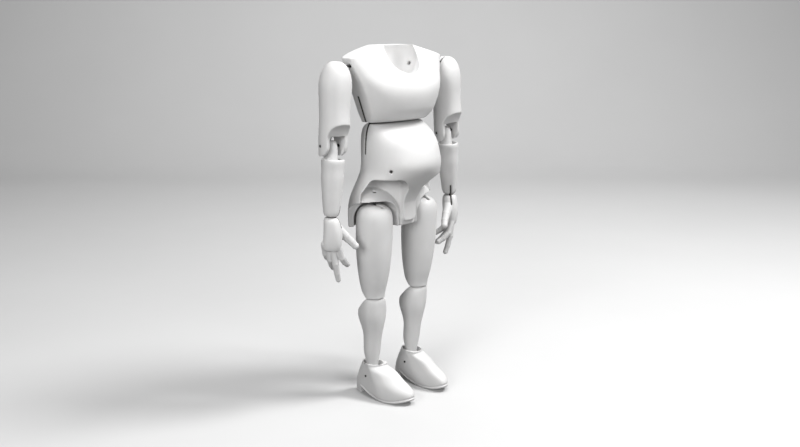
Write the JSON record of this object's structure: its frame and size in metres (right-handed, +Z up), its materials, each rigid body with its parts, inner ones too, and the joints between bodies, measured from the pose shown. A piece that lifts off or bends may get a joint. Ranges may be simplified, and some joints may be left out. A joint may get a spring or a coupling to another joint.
{
  "type": "jointed humanoid figure kit",
  "caption": "Headless jointed humanoid figure kit: barrel chest, pot belly, leather-hinged waist and wrists, pinned elbows, hips, knees and ankles, and clog-like shoes.",
  "frame": {"origin": "on the floor, in the middle of the figure's box", "axes": "+Z up, the figure faces -Y, its left side is +X"},
  "size_m": [0.271, 0.1067, 0.4955],
  "materials": {
    "white_print": "matt white 3D-printed plastic, lightly sanded",
    "black_leather": "thin black leather sheet with raw edges",
    "dark_steel": "blackened steel wire and pins"
  },
  "bodies": {
    "pelvis": {"belly_pelvis": "white_print", "belly_strap_pins": "dark_steel", "waist_strap": "black_leather"},
    "torso": {"chest": "white_print", "chest_strap_pins": "dark_steel"},
    "left_shoulder": {"left_shoulder_link": "dark_steel"},
    "left_arm": {"left_upper_arm": "white_print", "left_elbow_pin": "dark_steel", "left_shoulder_cross_pin": "dark_steel"},
    "left_lower_arm": {"left_forearm": "white_print", "left_wrist_strap": "black_leather", "left_forearm_strap_pin": "dark_steel"},
    "left_palm": {"left_hand": "white_print", "left_hand_strap_pin": "dark_steel"},
    "left_hip": {"left_hip_hanger": "dark_steel"},
    "left_upper_leg": {"left_thigh": "white_print", "left_hip_cross_pin": "dark_steel", "left_knee_pin": "dark_steel"},
    "left_lower_leg": {"left_shin": "white_print"},
    "left_foot": {"left_shoe": "white_print", "left_ankle_pin": "dark_steel"},
    "right_shoulder": {"right_shoulder_link": "dark_steel"},
    "right_arm": {"right_upper_arm": "white_print", "right_elbow_pin": "dark_steel", "right_shoulder_cross_pin": "dark_steel"},
    "right_lower_arm": {"right_forearm": "white_print", "right_wrist_strap": "black_leather", "right_forearm_strap_pin": "dark_steel"},
    "right_palm": {"right_hand": "white_print", "right_hand_strap_pin": "dark_steel"},
    "right_hip": {"right_hip_hanger": "dark_steel"},
    "right_upper_leg": {"right_thigh": "white_print", "right_hip_cross_pin": "dark_steel", "right_knee_pin": "dark_steel"},
    "right_lower_leg": {"right_shin": "white_print"},
    "right_foot": {"right_shoe": "white_print", "right_ankle_pin": "dark_steel"}
  },
  "joints": [
    {"name": "waist_bend", "type": "hinge", "parent": "pelvis", "child": "torso", "pos_m": [0, 0.016, 0.3918], "axis": [1, 0, 0], "range_deg": [-8, 10], "deforming": ["waist_strap"]},
    {"name": "left_shoulder_swing", "type": "hinge", "parent": "torso", "child": "left_shoulder", "pos_m": [0.08, 0.015, 0.4694], "axis": [-1, 0, 0], "range_deg": [-45, 140]},
    {"name": "left_shoulder_raise", "type": "hinge", "parent": "left_shoulder", "child": "left_arm", "pos_m": [0.104, 0.015, 0.4694], "axis": [0, -1, 0], "range_deg": [0, 35]},
    {"name": "left_elbow_bend", "type": "hinge", "parent": "left_arm", "child": "left_lower_arm", "pos_m": [0.1153, 0.0215, 0.3665], "axis": [-0.9981, 0, -0.061], "range_deg": [0, 78]},
    {"name": "left_wrist_bend", "type": "hinge", "parent": "left_lower_arm", "child": "left_palm", "pos_m": [0.12105, 0.016, 0.27247], "axis": [0.6145, 0.788, 0.0376], "range_deg": [-12, 12], "deforming": ["left_wrist_strap"]},
    {"name": "left_hip_turn", "type": "hinge", "parent": "pelvis", "child": "left_hip", "pos_m": [0.0465, 0.009, 0.295], "axis": [0, 0, 1], "range_deg": [-5, 20]},
    {"name": "left_hip_swing", "type": "hinge", "parent": "left_hip", "child": "left_upper_leg", "pos_m": [0.0465, 0.009, 0.258], "axis": [-1, 0, 0], "range_deg": [-8, 36]},
    {"name": "left_knee_bend", "type": "hinge", "parent": "left_upper_leg", "child": "left_lower_leg", "pos_m": [0.045, 0.013, 0.157], "axis": [1, 0, 0], "range_deg": [0, 80]},
    {"name": "left_ankle_bend", "type": "hinge", "parent": "left_lower_leg", "child": "left_foot", "pos_m": [0.041, 0.0205, 0.03], "axis": [1, 0, 0], "range_deg": [-12, 7]},
    {"name": "right_shoulder_swing", "type": "hinge", "parent": "torso", "child": "right_shoulder", "pos_m": [-0.08, 0.015, 0.4694], "axis": [-1, 0, 0], "range_deg": [-45, 140]},
    {"name": "right_shoulder_raise", "type": "hinge", "parent": "right_shoulder", "child": "right_arm", "pos_m": [-0.104, 0.015, 0.4694], "axis": [0, 1, 0], "range_deg": [0, 35]},
    {"name": "right_elbow_bend", "type": "hinge", "parent": "right_arm", "child": "right_lower_arm", "pos_m": [-0.1153, 0.0215, 0.3665], "axis": [-0.9981, 0, 0.061], "range_deg": [0, 78]},
    {"name": "right_wrist_bend", "type": "hinge", "parent": "right_lower_arm", "child": "right_palm", "pos_m": [-0.12105, 0.016, 0.27247], "axis": [0.6145, -0.788, -0.0376], "range_deg": [-12, 12], "deforming": ["right_wrist_strap"]},
    {"name": "right_hip_turn", "type": "hinge", "parent": "pelvis", "child": "right_hip", "pos_m": [-0.0465, 0.009, 0.295], "axis": [0, 0, -1], "range_deg": [-5, 20]},
    {"name": "right_hip_swing", "type": "hinge", "parent": "right_hip", "child": "right_upper_leg", "pos_m": [-0.0465, 0.009, 0.258], "axis": [-1, 0, 0], "range_deg": [-8, 36]},
    {"name": "right_knee_bend", "type": "hinge", "parent": "right_upper_leg", "child": "right_lower_leg", "pos_m": [-0.045, 0.013, 0.157], "axis": [1, 0, 0], "range_deg": [0, 80]},
    {"name": "right_ankle_bend", "type": "hinge", "parent": "right_lower_leg", "child": "right_foot", "pos_m": [-0.041, 0.0205, 0.03], "axis": [1, 0, 0], "range_deg": [-12, 7]}
  ]
}
